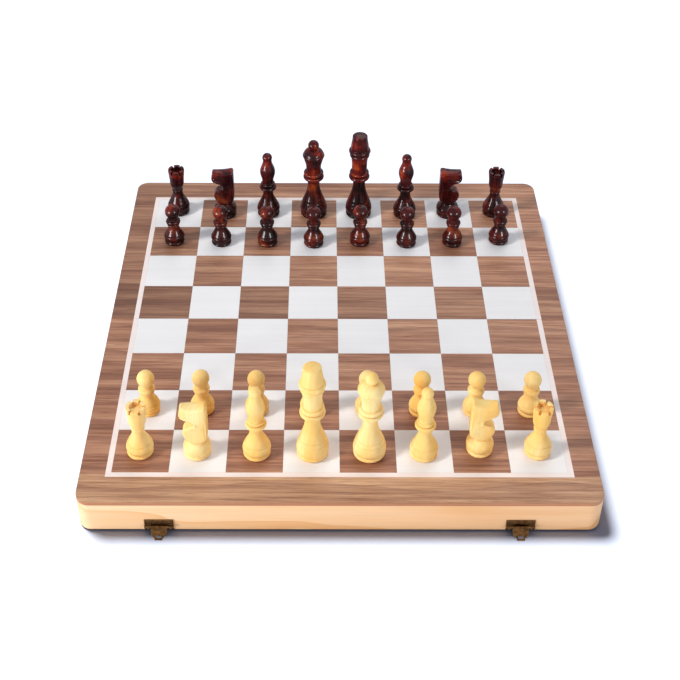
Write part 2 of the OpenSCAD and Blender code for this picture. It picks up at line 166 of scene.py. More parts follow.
def make_wood_grain():
    """Wood of a log that lies along x, with its pith at y = z = 0.

    Rings: the distance from the pith over the ring's width, bent by slow noise, keeps its
    fraction, cubed, so each ring darkens slowly and ends sharply. Bands: slow noise drawn out
    along x. Fibres: fine noise drawn out along x. Pores: the tops of still finer noise.
    """
    group, given, result = open_group(
        "wood_grain",
        [("Coords", "Vector", None), ("Ring Width", "Float", 0.003), ("Wander", "Float", 1.0),
         ("Fibre", "Float", 300.0)],
        [("Rings", "Float"), ("Bands", "Float"), ("Fibres", "Float"), ("Pores", "Float")])
    across = put(group, "SeparateXYZ", Vector=given["Coords"]).outputs
    from_pith = calc(group, "SQRT", calc(
        group, "ADD", calc(group, "MULTIPLY", across[1], across[1]),
        calc(group, "MULTIPLY", across[2], across[2])))
    bend = calc(group, "MULTIPLY", cloud(group, stretched(group, given["Coords"], 5, 22), 1, 2),
                given["Wander"])
    count = calc(group, "ADD", calc(group, "DIVIDE", from_pith, given["Ring Width"]), bend)
    group.links.new(calc(group, "POWER", calc(group, "FRACT", count), 3.0), result["Rings"])
    fine = put(group, "VectorMath", [(0, given["Coords"]), (3, given["Fibre"])], operation="SCALE")
    group.links.new(cloud(group, stretched(group, given["Coords"], 4, 70), 1, 4), result["Bands"])
    group.links.new(cloud(group, stretched(group, fine.outputs[0], 0.03, 1), 1, 5, 0.65),
                    result["Fibres"])
    pores = cloud(group, stretched(group, fine.outputs[0], 0.14, 4.2), 1, 2)
    group.links.new(put(group, "MapRange", Value=pores, From_Min=0.58, From_Max=0.72).outputs[0],
                    result["Pores"])
    return group


def make_soft_edges():
    """Edges as the finisher leaves them: a normal that rolls over each edge, and a mask of the edge."""
    group, given, result = open_group(
        "soft_edges", [("Radius", "Float", 0.0005)], [("Normal", "Vector"), ("Edge", "Float")])
    rolled = put(group, "Bevel", samples=4, Radius=given["Radius"]).outputs[0]
    flat = put(group, "NewGeometry").outputs["True Normal"]
    match = put(group, "VectorMath", [(0, rolled), (1, flat)], operation="DOT_PRODUCT").outputs["Value"]
    edge = put(group, "MapRange", Value=match, From_Min=0.995, From_Max=0.8)
    group.links.new(rolled, result["Normal"])
    group.links.new(edge.outputs[0], result["Edge"])
    return group


def make_handling():
    """Marks of handling: slow cloudy rubs and short scratches, from 0 to 1."""
    group, given, result = open_group(
        "handling", [("Coords", "Vector", None), ("Size", "Float", 60.0)],
        [("Rubs", "Float"), ("Scratches", "Float")])
    group.links.new(cloud(group, given["Coords"], given["Size"], 4), result["Rubs"])
    hair = put(group, "Mapping", Vector=given["Coords"], Rotation=(0.3, 0.2, 0.7), Scale=(90, 2400, 2400))
    thin = cloud(group, hair.outputs[0], 1, 1)
    group.links.new(put(group, "MapRange", Value=thin, From_Min=0.68, From_Max=0.78).outputs[0],
                    result["Scratches"])
    return group


def make_painted_crease_shade():
    """Painted shade from ambient occlusion: 1 in a groove or under a collar, 0 in the open."""
    group, given, result = open_group("painted_crease_shade", [("Reach", "Float", 0.004)], [("Painted Shade", "Float")])
    open_air = put(group, "AmbientOcclusion", samples=6, Distance=given["Reach"]).outputs["AO"]
    shut = put(group, "MapRange", Value=open_air, From_Min=0.9, From_Max=0.35)
    group.links.new(shut.outputs[0], result["Painted Shade"])
    return group


WOOD_GRAIN, SOFT_EDGES, HANDLING = make_wood_grain(), make_soft_edges(), make_handling()
PAINTED_CREASE_SHADE = make_painted_crease_shade()


def new_material(name, **values):
    """A material with its Principled shader, the piece's own coordinates and plain socket values."""
    material = bpy.data.materials.new(name)
    material.use_nodes = True
    shader = material.node_tree.nodes["Principled BSDF"]
    for socket, value in values.items():
        shader.inputs[socket.replace("_", " ")].default_value = value
    coords = put(material.node_tree, "TexCoord").outputs["Object"]
    return material, material.node_tree, shader.inputs, coords


def feed(tree, inputs, **sockets):
    """Links sockets into the shader's inputs of those names."""
    for name, socket in sockets.items():
        tree.links.new(socket, inputs[name.replace("_", " ")])


def pine(name, turned):
    """Clear pine, flat-sawn, for a wall whose length lies turned radians from x. Painted light runs
    across the walls: paler towards the left, darker and more orange towards the right."""
    material, tree, inputs, coords = new_material(name, Specular_IOR_Level=0.35)
    board = put(tree, "Mapping", Vector=coords, Rotation=(0.05, 0, turned),
                Location=(0, 0.03, 0.045)).outputs[0]
    grain = put(tree, "Group", node_tree=WOOD_GRAIN, Coords=board, Ring_Width=0.0085, Wander=3.2,
                Fibre=520).outputs
    early = ramp(tree, grain["Bands"], (0.25, screen(246, 192, 136)), (0.75, screen(253, 209, 164)))
    late = tinted(tree, spread(tree, grain["Rings"], 0, 0.8), early, screen(237, 174, 112))
    threads = spread(tree, grain["Fibres"], 0.86, 1.08)
    # Painted light: the factor below makes the walls paler at the left and darker, more orange at the
    # right.
    from_left = put(tree, "SeparateXYZ", Vector=coords).outputs[0]
    painted_side_light = tinted(tree, between(tree, from_left, BOARD_LEFT, BOARD_RIGHT, 0, 1),
                   (1.05, 1.08, 1.07, 1), (0.9, 0.84, 0.75, 1))
    colour = tinted(tree, 1.0, tinted(tree, 1.0, late, threads, "MULTIPLY"), painted_side_light, "MULTIPLY")
    edges = put(tree, "Group", node_tree=SOFT_EDGES, Radius=0.0007).outputs
    rubs = put(tree, "Group", node_tree=HANDLING, Coords=coords, Size=45).outputs
    height = calc(tree, "ADD", calc(tree, "MULTIPLY", grain["Rings"], 0.4), grain["Fibres"])
    feed(tree, inputs, Base_Color=colour, Roughness=spread(tree, rubs["Rubs"], 0.42, 0.62),
         Normal=put(tree, "Bump", Strength=0.25, Distance=0.00012, Height=height,
                    Normal=edges["Normal"]).outputs[0])
    return material


def dress(material, *names):
    """Gives CAD nodes their material."""
    for name in names:
        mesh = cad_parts[name].data
        mesh.materials.clear()
        mesh.materials.append(material)


PINE_ACROSS, PINE_ALONG = pine("pine_across", 0), pine("pine_along", math.pi / 2)
dress(PINE_ACROSS, "near_end_wall", "far_end_wall", "near_seam_wall", "far_seam_wall")
dress(PINE_ALONG, "near_left_wall", "near_right_wall", "far_left_wall", "far_right_wall")


# ---- Walnut panels ----
# Two 3 mm boards faced with one sheet of walnut veneer each, grain across the board, and
# glued onto the trays. The dark squares are the veneer itself, under a thin satin varnish.

SEAM, FIRST_RANK_FADE, NEAR_STRIP_FROM = 0.0, (0.030, 0.055), -0.17
PAINTED_SHEEN_STRIP = (1.17, 1.31, 1.26, 1)


def walnut():
    """Walnut veneer: brown bands along x, dark threads, fine pores and a satin varnish.

    Painted light lies over the sheets: the near sheet is a little paler at its left end, and the far
    sheet is painted darker at its left end, a painted shade, and is darker along the rank beside the
    seam. The near border is painted paler and yellower, a painted sheen. The rims of the boards,
    which face sideways, are a redder brown.
    """
    material, tree, inputs, coords = new_material("walnut", Specular_IOR_Level=0.3)
    sheet = put(tree, "Mapping", Vector=coords, Location=(0, 0.31, 0.22),
                Rotation=(0, 0, 0.012)).outputs[0]
    grain = put(tree, "Group", node_tree=WOOD_GRAIN, Coords=sheet, Ring_Width=0.011, Wander=2.6,
                Fibre=420).outputs
    bands = calc(tree, "ADD", calc(tree, "MULTIPLY", grain["Bands"], 0.55),
                 calc(tree, "MULTIPLY", grain["Fibres"], 0.5))
    wood = ramp(tree, bands, (0.3, screen(92, 52, 36)), (0.44, screen(138, 90, 66)),
                (0.56, screen(178, 128, 98)), (0.72, screen(214, 166, 130)))
    ringed = tinted(tree, spread(tree, grain["Rings"], 0, 0.55), wood, screen(128, 84, 66))
    pored = tinted(tree, spread(tree, grain["Pores"], 0, 0.6), ringed, screen(78, 48, 36))
    patched = tinted(tree, 1.0, pored, spread(tree, cloud(tree, coords, 7, 2), 0.84, 1.12), "MULTIPLY")
    place = put(tree, "SeparateXYZ", Vector=coords).outputs
    # Painted light and shade: the near sheet is a little paler to the left and the far sheet darker to
    # the left; the far sheet is also darker along the rank beside the seam.
    near_painted_light = between(tree, place[0], BOARD_LEFT, BOARD_RIGHT, 1.08, 1.03)
    far_painted_shade_and_tone = calc(tree, "MULTIPLY", between(tree, place[0], BOARD_LEFT, BOARD_RIGHT, 0.8, 1.16),
                    between(tree, place[1], *FIRST_RANK_FADE, 0.86, 1.08))
    painted_light_and_tone = tinted(tree, calc(tree, "GREATER_THAN", place[1], SEAM), near_painted_light, far_painted_shade_and_tone)
    sheets = tinted(tree, 1.0, patched, painted_light_and_tone, "MULTIPLY")
    # Painted sheen: the near border strip is painted paler and yellower.
    sheen_strip = calc(tree, "LESS_THAN", place[1], NEAR_STRIP_FROM)
    with_sheen = tinted(tree, sheen_strip, sheets, PAINTED_SHEEN_STRIP, "MULTIPLY")
    facing = put(tree, "SeparateXYZ", Vector=put(tree, "NewGeometry").outputs["True Normal"]).outputs[2]
    rim = calc(tree, "LESS_THAN", calc(tree, "ABSOLUTE", facing), 0.7)
    colour = tinted(tree, spread(tree, rim, 0, 0.75), with_sheen, screen(184, 116, 76))
    edges = put(tree, "Group", node_tree=SOFT_EDGES, Radius=0.0004).outputs
    rubs = put(tree, "Group", node_tree=HANDLING, Coords=coords, Size=30).outputs
    height = calc(tree, "SUBTRACT", grain["Fibres"], grain["Pores"])
    feed(tree, inputs, Base_Color=colour, Roughness=spread(tree, rubs["Rubs"], 0.38, 0.55),
         Normal=put(tree, "Bump", Strength=0.2, Distance=0.0001, Height=height,
                    Normal=edges["Normal"]).outputs[0])
    return material


dress(walnut(), "near_panel", "far_panel")


# ---- Light squares and border line ----
# Thirty-two squares and a line of bleached veneer, let into the walnut and sanded flush.
# The squares are cool white; the line is a warmer white and hides the cut round them.

def bleached(name, dull, clear):
    """Bleached veneer between two near whites, with a trace of grain along x."""
    material, tree, inputs, coords = new_material(name, Specular_IOR_Level=0.3)
    grain = put(tree, "Group", node_tree=WOOD_GRAIN, Coords=coords, Fibre=500).outputs
    both = calc(tree, "ADD", calc(tree, "MULTIPLY", grain["Fibres"], 0.5),
                calc(tree, "MULTIPLY", grain["Bands"], 0.5))
    rubs = put(tree, "Group", node_tree=HANDLING, Coords=coords, Size=30).outputs
    feed(tree, inputs, Base_Color=ramp(tree, both, (0.3, dull), (0.65, clear)),
         Roughness=spread(tree, rubs["Rubs"], 0.36, 0.52),
         Normal=put(tree, "Bump", Strength=0.15, Distance=0.00006, Height=grain["Fibres"]).outputs[0])
    return material


dress(bleached("light_veneer", screen(238, 235, 232), screen(245, 242, 238)),
      "near_light_squares", "far_light_squares")
dress(bleached("white_veneer", screen(243, 226, 217), screen(251, 237, 229)),
      "near_border_line", "far_border_line")


# ---- Felt linings ----
# A sheet of wine-red felt glued under each panel, so that the men don't rattle in the tray.
# It is cut a little short of the walls and its face is brushed and slightly uneven.

def shell(name, grids, material, painted_shade=38.0):
    """One closed mesh from grids of points (x, y, z arrays), whose rows run up the piece and
    whose columns run round it and meet. Points that fall together, as at a pole, are merged."""
    points, quads, start = [], [], 0
    for x, y, z in grids:
        at = start + np.arange(x.size).reshape(x.shape)
        low, high = at[:-1], at[1:]
        points.append(np.stack([x, y, z], axis=-1).reshape(-1, 3))
        ring = [low, np.roll(low, -1, 1), np.roll(high, -1, 1), high]
        quads.append(np.stack(ring, axis=-1).reshape(-1, 4))
        start += x.size
    mesh = bpy.data.meshes.new(name)
    mesh.from_pydata(np.concatenate(points), [], np.concatenate(quads))
    merged = bmesh.new()
    merged.from_mesh(mesh)
    bmesh.ops.remove_doubles(merged, verts=merged.verts, dist=2e-6)
    bmesh.ops.recalc_face_normals(merged, faces=merged.faces)
    merged.to_mesh(mesh)
    merged.free()
    mesh.polygons.foreach_set("use_smooth", np.ones(len(mesh.polygons), dtype=bool))
    mesh.set_sharp_from_angle(angle=math.radians(painted_shade))
    mesh.materials.append(material)
    piece = bpy.data.objects.new(name, mesh)
    bpy.context.scene.collection.objects.link(piece)
    return piece


def felt():
    """Pressed wool: short fibres in every direction, a dull nap and small lighter tufts."""
    material, tree, inputs, coords = new_material(
        "felt", Roughness=0.95, Specular_IOR_Level=0.15, Sheen_Weight=0.6, Sheen_Roughness=0.5)
    tufts = cloud(tree, coords, 900, 5, 0.7)
    nap = cloud(tree, coords, 45, 3)
    wool = ramp(tree, tufts, (0.3, screen(84, 14, 26)), (0.7, screen(142, 38, 50)))
    feed(tree, inputs, Base_Color=tinted(tree, 1.0, wool, spread(tree, nap, 0.8, 1.15), "MULTIPLY"),
         Normal=put(tree, "Bump", Strength=0.7, Distance=0.0003, Height=tufts).outputs[0])
    return material


def felt_sheet(name, node, material):
    """A cut sheet: a rectangle carried round its edge as a flattened ring, from the middle of the
    upper face out, over the rounded edge and back to the middle of the lower face, which sags
    and rises by slow waves where the glue let go."""
    (x0, y0, z0), (x1, y1, z1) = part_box(node)
    around = np.linspace(0, 2 * np.pi, 240, endpoint=False)
    outwards = np.concatenate([np.linspace(0, 1, 24), np.linspace(1, 0, 40)])
    corner = 1 / np.maximum(np.abs(np.cos(around)), np.abs(np.sin(around)))
    across = outwards[:, None] * corner * np.cos(around)
    along = outwards[:, None] * corner * np.sin(around)
    side = np.where(np.arange(64) < 24, 1.0, 0.0)[:, None] * np.ones_like(across)
    x = (x0 + x1) / 2 + across * (x1 - x0) / 2
    y = (y0 + y1) / 2 + along * (y1 - y0) / 2
    wave = 0.5 + 0.5 * np.sin(x * 63) * np.sin(y * 81 + 1.3)
    low = z0 + 0.00025 * wave * (1 - outwards[:, None] ** 6)
    return shell(name, [(x, y, side * z1 + (1 - side) * low)], material)


FELT = felt()
for half, body in (("near", "near_half"), ("far", "far_half")):
    lining = felt_sheet(half + "_felt", half + "_lining", FELT)
    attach(lining, body)
    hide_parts(half + "_lining")


# ---- Hinges, latches and catches ----
# Stamped brass, antiqued in a dark dip and then rubbed, so that it is dark brown in blotches
# and warm brown on edges and knuckles. Pins are drawn wire and screws match; the nails are
# painted paler, worn heads with a painted highlight.

def antique_brass(name, shadow, body, rubbed):
    """Dipped brass: blotches of two browns, and bare metal on the edges that hands reach."""
    material, tree, inputs, coords = new_material(name, Metallic=1.0)
    blotch = cloud(tree, coords, 420, 5, 0.7)
    edges = put(tree, "Group", node_tree=SOFT_EDGES, Radius=0.0004).outputs
    rubs = put(tree, "Group", node_tree=HANDLING, Coords=coords, Size=300).outputs
    dipped = ramp(tree, blotch, (0.35, shadow), (0.65, body))
    bare = calc(tree, "MULTIPLY", edges["Edge"], spread(tree, rubs["Rubs"], 0.3, 1.0))
    pits = calc(tree, "ADD", blotch, calc(tree, "MULTIPLY", rubs["Scratches"], 0.4))
    feed(tree, inputs, Base_Color=tinted(tree, bare, dipped, rubbed),
         Roughness=spread(tree, rubs["Rubs"], 0.55, 0.32),
         Normal=put(tree, "Bump", Strength=0.35, Distance=0.00008, Height=pits,
                    Normal=edges["Normal"]).outputs[0])
    return material


BRASS = antique_brass("antique_brass", screen(70, 44, 22), screen(128, 92, 56), screen(196, 160, 112))
dress(BRASS, "near_hinge_leaves", "far_hinge_leaves", "near_hinge_screws", "far_hinge_screws",
      "latch_plates", "latch_flap_left", "latch_flap_right", "catch_plates")
# The nails are coloured paler than the other brass: worn heads, and a painted highlight.
dress(antique_brass("nails_worn_and_painted_bright", screen(150, 120, 84), screen(206, 178, 138), screen(244, 224, 192)),
      "latch_nails", "catch_nails")
dress(antique_brass("drawn_wire", screen(120, 112, 100), screen(160, 150, 134), screen(206, 198, 182)),
      "hinge_pins", "latch_pins")


# ---- The turner's way with a man ----
# Every man is turned from one square of wood: foot ring, groove, bell, neck, collar and head.
# The tool leaves round beads and fine scribed lines; sanding eases each corner a little.

MM = 0.001
BOARD_TOP = 0.031


def bead(z, r, t):
    """Disc with a half-round edge: its flat radius plus a half circle of thickness t."""
    def radius(h):
        bulge = np.sqrt(np.maximum(t * t / 4 - (h - z) ** 2, 0))
        return np.where(np.abs(h - z) <= t / 2, r - t / 2 + bulge, 0)
    return radius


def sweep(z1, r1, z2, r2, lean=1.0):
    """Half a cosine wave from radius r1 at height z1 to r2 at z2; above 1, lean keeps r1 longer."""
    def radius(h):
        t = np.clip((h - z1) / (z2 - z1), 0, 1)
        return np.where((h >= z1) & (h <= z2), r2 + (r1 - r2) * (1 + np.cos(np.pi * t ** lean)) / 2, 0)
    return radius


def dome(z, r, height):
    """Quarter of an ellipse standing on height z."""
    return lambda h: np.where(h >= z, r * np.sqrt(np.maximum(1 - ((h - z) / height) ** 2, 0)), 0)


def ball(z, r):
    """Circle of radius r round height z."""
    return lambda h: np.sqrt(np.maximum(r * r - (h - z) ** 2, 0))


def foot(d, neck_r, neck_z, lean=0.88):
    """Foot ring, groove and bell: the bell swells over the groove and ends in the neck."""
    r, ring, full = d / 2, 3.2, 6.6
    return [bead(ring / 2, r - 0.3, ring), sweep(0, r - 1.3, ring * 1.5, r - 1.3),
            sweep(ring + 0.7, r - 0.9, full, r), sweep(full, r, neck_z, neck_r, lean)]


def turned_path(forms, top, scribes=(), hollow=(), eased=0.22, points=200):
    """Half outline of a turned piece, as radius and height from the foot's middle to the top's.

    At each height it is as wide as the widest form there, less the scribed lines. Its corners
    are eased by a bell-shaped mean along its length, taken over the outline and its mirror image
    so that both ends stay on the axis. Points crowd where the outline turns.
    """
    h = np.linspace(0, top, 6000)
    r = np.max([form(h) for form in forms], axis=0)
    for z, depth in scribes:
        r = r - depth * np.exp(-(((h - z) / 0.34) ** 2))
    path = np.concatenate([[[0, 0]], np.stack([r, h], -1), np.array(hollow).reshape(-1, 2), [[0, 0]]])
    path[-1, 1] = path[-2, 1]
    length = np.concatenate([[0], np.cumsum(np.hypot(*np.diff(path, axis=0).T))])
    step = 0.04
    even = np.arange(0, length[-1], step)
    path = np.stack([np.interp(even, length, path[:, i]) for i in (0, 1)], -1)
    reach = int(4 * eased / step)
    flip = np.array([-1, 1])
    doubled = np.concatenate([path[reach:0:-1] * flip, path, path[-2:-reach - 2:-1] * flip])
    bell = np.exp(-0.5 * (np.arange(-reach, reach + 1) * step / eased) ** 2)
    path = np.stack([np.convolve(doubled[:, i], bell / bell.sum(), "valid") for i in (0, 1)], -1)
    turn = np.abs(np.diff(np.unwrap(np.arctan2(*np.diff(path, axis=0).T))))
    crowd = np.cumsum(np.concatenate([[0, 0], turn]) / 0.3 + step / 1.6)
    pick = np.linspace(crowd[0], crowd[-1], points)
    path = np.stack([np.interp(pick, crowd, path[:, i]) for i in (0, 1)], -1)
    path[[0, -1], 0] = 0
    return path


def revolve(path, sides=64):
    """The outline carried round the axis: x = r cos a, y = r sin a, z = height."""
    a = np.linspace(0, 2 * np.pi, sides, endpoint=False)
    r, h = path[:, :1], path[:, 1:]
    return r * np.cos(a), r * np.sin(a), h + 0 * a


def boxwood():
    """Pale straight-grained wood, stained straw yellow and waxed to a dull sheen. The men come
    from several blanks, some paler and some nearer to orange."""
    material, tree, inputs, coords = new_material("light_wood", Specular_IOR_Level=0.1)
    upright = put(tree, "Mapping", Vector=coords, Rotation=(0, math.pi / 2, 0),
                  Location=(0, 0.4, 0.3)).outputs[0]
    grain = put(tree, "Group", node_tree=WOOD_GRAIN, Coords=upright, Ring_Width=0.0035, Wander=2.2,
                Fibre=900).outputs
    stain = ramp(tree, grain["Bands"], (0.3, screen(255, 197, 100)), (0.7, screen(255, 228, 154)))
    ringed = tinted(tree, spread(tree, grain["Rings"], 0, 0.28), stain, screen(244, 196, 110))
    fibred = tinted(tree, 1.0, ringed, spread(tree, grain["Fibres"], 0.95, 1.04), "MULTIPLY")
    which = between(tree, cloud(tree, coords, 20, 1), 0.4, 0.6, 0, 1)
    own = tinted(tree, 1.0, fibred, tinted(tree, which, (0.99, 0.92, 0.8, 1), (1.03, 1.08, 1.24, 1)),
                 "MULTIPLY")
    # Painted shade: grooves and the undersides of collars are tinted orange.
    painted_shade = put(tree, "Group", node_tree=PAINTED_CREASE_SHADE, Reach=0.005).outputs["Painted Shade"]
    colour = tinted(tree, spread(tree, painted_shade, 0, 0.4), own, screen(232, 150, 64))
    rubs = put(tree, "Group", node_tree=HANDLING, Coords=coords, Size=90).outputs
    feed(tree, inputs, Base_Color=colour, Roughness=spread(tree, rubs["Rubs"], 0.42, 0.6),
         Normal=put(tree, "Bump", Strength=0.12, Distance=0.0001, Height=grain["Fibres"]).outputs[0])
    return material


def lacquered():
    """Wood stained red-brown under a thick clear lacquer: nearly black where the stain pooled,
    orange-brown where it was thin, with the grain showing through. Grooves and the undersides of
    collars are darkened with painted shade, and the colour is darker towards the feet and paler
    towards the heads."""
    material, tree, inputs, coords = new_material(
        "dark_wood", Roughness=0.45, Specular_IOR_Level=0.05, Coat_Weight=0.28, Coat_Roughness=0.08)
    upright = put(tree, "Mapping", Vector=coords, Rotation=(0, math.pi / 2, 0),
                  Location=(0, 0.2, 0.5)).outputs[0]
    grain = put(tree, "Group", node_tree=WOOD_GRAIN, Coords=upright, Ring_Width=0.0045, Wander=2.6,
                Fibre=700).outputs
    thin = cloud(tree, coords, 75, 3)
    stain = ramp(tree, thin, (0.36, screen(32, 3, 6)), (0.5, screen(72, 10, 10)),
                 (0.6, screen(112, 26, 14)), (0.72, screen(178, 74, 28)))
    ringed = tinted(tree, spread(tree, grain["Rings"], 0, 0.5), stain, screen(40, 5, 8))
    fibred = tinted(tree, 1.0, ringed, spread(tree, grain["Fibres"], 0.8, 1.12), "MULTIPLY")
    # Painted shade: grooves and the undersides of collars are darkened nearly to black.
    painted_shade = put(tree, "Group", node_tree=PAINTED_CREASE_SHADE, Reach=0.005).outputs["Painted Shade"]
    height = put(tree, "SeparateXYZ", Vector=coords).outputs[2]
    # Darker towards the feet and paler towards the heads, by height alone.
    by_height = between(tree, height, BOARD_TOP + 0.03, BOARD_TOP + 0.05, 0.62, 1.25)
    height_toned = tinted(tree, 1.0, fibred, by_height, "MULTIPLY")
    colour = tinted(tree, spread(tree, painted_shade, 0, 0.8), height_toned, screen(16, 3, 4))
    feed(tree, inputs, Base_Color=colour,
         Normal=put(tree, "Bump", Strength=0.1, Distance=0.0001, Height=grain["Fibres"]).outputs[0])
    return material


WOODS = {"light": boxwood(), "dark": lacquered()}
MEN = bpy.data.collections.new("men")


def stand(man, grids, from_back=None):
    """Stands a man, given in millimetres about its own axis, on its square for both players.

    The axis is in the middle of the man's box, or from_back millimetres from the box's left side;
    a left-hand man with from_back faces the other way and is measured from the right side.
    """
    for side, wood in WOODS.items():
        low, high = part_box(f"{side}_{man}")
        facing = -1 if from_back and man.endswith("left") else 1
        x0 = (low[0] + high[0]) / 2
        if from_back:
            x0 = (low if facing > 0 else high)[0] + facing * from_back * MM
        y0 = (low[1] + high[1]) / 2
        placed = [(x0 + facing * x * MM, y0 + facing * y * MM, low[2] + z * MM) for x, y, z in grids]
        piece = shell(f"{side}_{man}_turned", placed, wood)
        MEN.objects.link(piece)
        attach(piece, f"{side}_{man}")
        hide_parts(f"{side}_{man}")


# ---- Pawns ----
# A ball on a collar and a small fillet, over a bell that takes half of the height.
# Sixteen are turned to one pattern, eight of each wood.

PAWN_H, PAWN_D = 40.2, 18.4
PAWN_NECK, PAWN_BALL = 0.475 * PAWN_H, 6.7
pawn = turned_path(
    [*foot(PAWN_D, 4.6, PAWN_NECK), bead(PAWN_NECK + 0.8, 5.7, 1.8), bead(PAWN_NECK + 3.8, 6.5, 4.6),
     sweep(PAWN_NECK, 4.6, PAWN_H - PAWN_BALL, 4.6), ball(PAWN_H - PAWN_BALL, PAWN_BALL)],
    PAWN_H, scribes=[(9.4, 0.55)], points=130)
for number in range(1, 9):
    stand(f"pawn_{number}", [revolve(pawn, 56)])


# ---- Rooks ----
# A tower: the bell narrows to a neck and opens into a cup, hollowed from above, whose rim is
# sawn through in six places.

ROOK_H, ROOK_D = 47.6, 20.4
ROOK_NECK, ROOK_CUP = 0.51 * ROOK_H, 0.72 * ROOK_H
CUP_R, CUP_DEEP, SAW_W, SAW_DEEP, SAW_CUTS = 4.6, 4.0, 1.6, 2.8, 6
rook = turned_path(
    [*foot(ROOK_D, 4.3, ROOK_NECK), bead(ROOK_NECK + 0.8, 5.1, 1.8),
     sweep(ROOK_NECK, 4.3, ROOK_CUP, 6.5), sweep(ROOK_CUP, 6.5, ROOK_H, 7.4)],
    ROOK_H, scribes=[(11.2, 0.6)],
    hollow=[(CUP_R, ROOK_H), (CUP_R - 0.2, ROOK_H - CUP_DEEP)], points=190)


def sawn_rim(path, sides=16):
    """The rook's outline carried round, with close pairs of angles at the saw cuts; between a pair
    that bounds a cut, the rim is lowered to the cut's floor."""
    pitch = 2 * np.pi / SAW_CUTS
    half = SAW_W / 2 / 6.2
    one = np.concatenate([np.linspace(-half, half, 4),
                          np.linspace(half + 0.02, pitch - half - 0.02, sides)])
    a = np.concatenate([one + pitch * k for k in range(SAW_CUTS)])
    cut = np.tile(np.arange(len(one)) < 4, SAW_CUTS)
    r, h = path[:, :1], path[:, 1:]
    z = np.where(cut, np.minimum(h, ROOK_H - SAW_DEEP), h + 0 * a)
    return r * np.cos(a), r * np.sin(a), z


for man in ("rook_left", "rook_right"):
    stand(man, [sawn_rim(rook)])


# ---- Bishops ----
# A pointed mitre above two collars, closed by a ball.

BISHOP_H, BISHOP_D = 67.4, 21.2
BISHOP_NECK, BISHOP_LOW, BISHOP_WIDE = 0.364 * BISHOP_H, 0.552 * BISHOP_H, 0.712 * BISHOP_H
BISHOP_BALL = 4.5
bishop = turned_path(
    [*foot(BISHOP_D, 4.7, BISHOP_NECK), sweep(BISHOP_NECK, 4.7, BISHOP_LOW, 5.1),
     bead(BISHOP_NECK + 6.2, 7.9, 3.8), bead(BISHOP_NECK + 9.6, 6.6, 2.8),
     sweep(BISHOP_LOW, 5.1, BISHOP_WIDE, 7), sweep(BISHOP_WIDE, 7, BISHOP_H - 1.6 * BISHOP_BALL, 4),
     ball(BISHOP_H - BISHOP_BALL, BISHOP_BALL)],
    BISHOP_H, scribes=[(11.2, 0.6)], points=220)
for man in ("bishop_left", "bishop_right"):
    stand(man, [revolve(bishop)])


# ---- Queens ----
# A flared crown with a rounded rim and a low dome, and a ball on top of it.

QUEEN_H, QUEEN_D = 81.2, 24.8
QUEEN_NECK, QUEEN_WAIST, QUEEN_CROWN = 0.418 * QUEEN_H, 0.66 * QUEEN_H, 0.808 * QUEEN_H
QUEEN_BALL = 5.0
queen = turned_path(
    [*foot(QUEEN_D, 5.5, QUEEN_NECK), sweep(QUEEN_NECK, 5.5, QUEEN_WAIST, 6.9),
     bead(QUEEN_NECK + 8.2, 9.5, 4.2), bead(QUEEN_NECK + 12.2, 9.1, 3.8),
     sweep(QUEEN_WAIST, 6.9, QUEEN_CROWN, 9.2, 0.9), bead(QUEEN_CROWN, 10, 4.4),
     dome(QUEEN_CROWN + 1, 9.3, QUEEN_H - 2 * QUEEN_BALL - QUEEN_CROWN + 1),
     ball(QUEEN_H - QUEEN_BALL, QUEEN_BALL)],
    QUEEN_H, scribes=[(13, 0.6), (16.5, 0.6)], points=260)
stand("queen", [revolve(queen, 72)])


# ---- Kings ----
# The tallest: two rings carry a plain tapered cap with an eased flat top, in place of a cross.

KING_H, KING_D = 88.0, 24.4
KING_NECK, KING_WAIST, KING_CROWN = 0.398 * KING_H, 0.645 * KING_H, 0.805 * KING_H
KING_CAP = 1.6
king = turned_path(
    [*foot(KING_D, 5.6, KING_NECK), sweep(KING_NECK, 5.6, KING_WAIST, 7.1),
     bead(KING_NECK + 7.7, 9.6, 4.4), bead(KING_NECK + 11.8, 8.9, 3.8),
     sweep(KING_WAIST, 7.1, KING_CROWN, 8.4), bead(KING_CROWN - 4.4, 9, 3.2),
     bead(KING_CROWN, 9.9, 4.4), sweep(KING_CROWN + 1.6, 8.2, KING_H - KING_CAP, 6.8, 1.2),
     dome(KING_H - KING_CAP, 6.8, KING_CAP)],
    KING_H, scribes=[(13, 0.6), (16.5, 0.6)], points=280)
stand("king", [revolve(king, 72)])


# ---- Knights ----
# The head is sawn from a slab to the side view of a horse, its edges are eased, the mane is
# fluted and eyes, nostrils and mouth are cut by hand. It stands on a turned base.

KNIGHT_H, KNIGHT_D, KNIGHT_SEAT = 50.4, 20.6, 14.2
SLAB = 5.5
knight_base = turned_path([*foot(KNIGHT_D, 6.2, KNIGHT_SEAT, 1.7)], KNIGHT_SEAT + 0.8, points=120)


def curve_through(knots, t):
    """A smooth curve through knots (rows of x and z), at shares t of its length: on each span it
    is the cubic whose slope at a knot is that of the line joining the knot's two neighbours."""
    knots = np.array(knots, float)
    place = np.concatenate([[0], np.cumsum(np.hypot(*np.diff(knots, axis=0).T))])
    place = place / place[-1]
    slope = np.gradient(knots, place, axis=0)
    i = np.clip(np.searchsorted(place, t, "right") - 1, 0, len(knots) - 2)
    gap = (place[i + 1] - place[i])[:, None]
    s = ((t - place[i]) / (place[i + 1] - place[i]))[:, None]
    return ((2 * s ** 3 - 3 * s ** 2 + 1) * knots[i] + (s ** 3 - 2 * s ** 2 + s) * gap * slope[i]
            + (3 * s ** 2 - 2 * s ** 3) * knots[i + 1] + (s ** 3 - s ** 2) * gap * slope[i + 1])


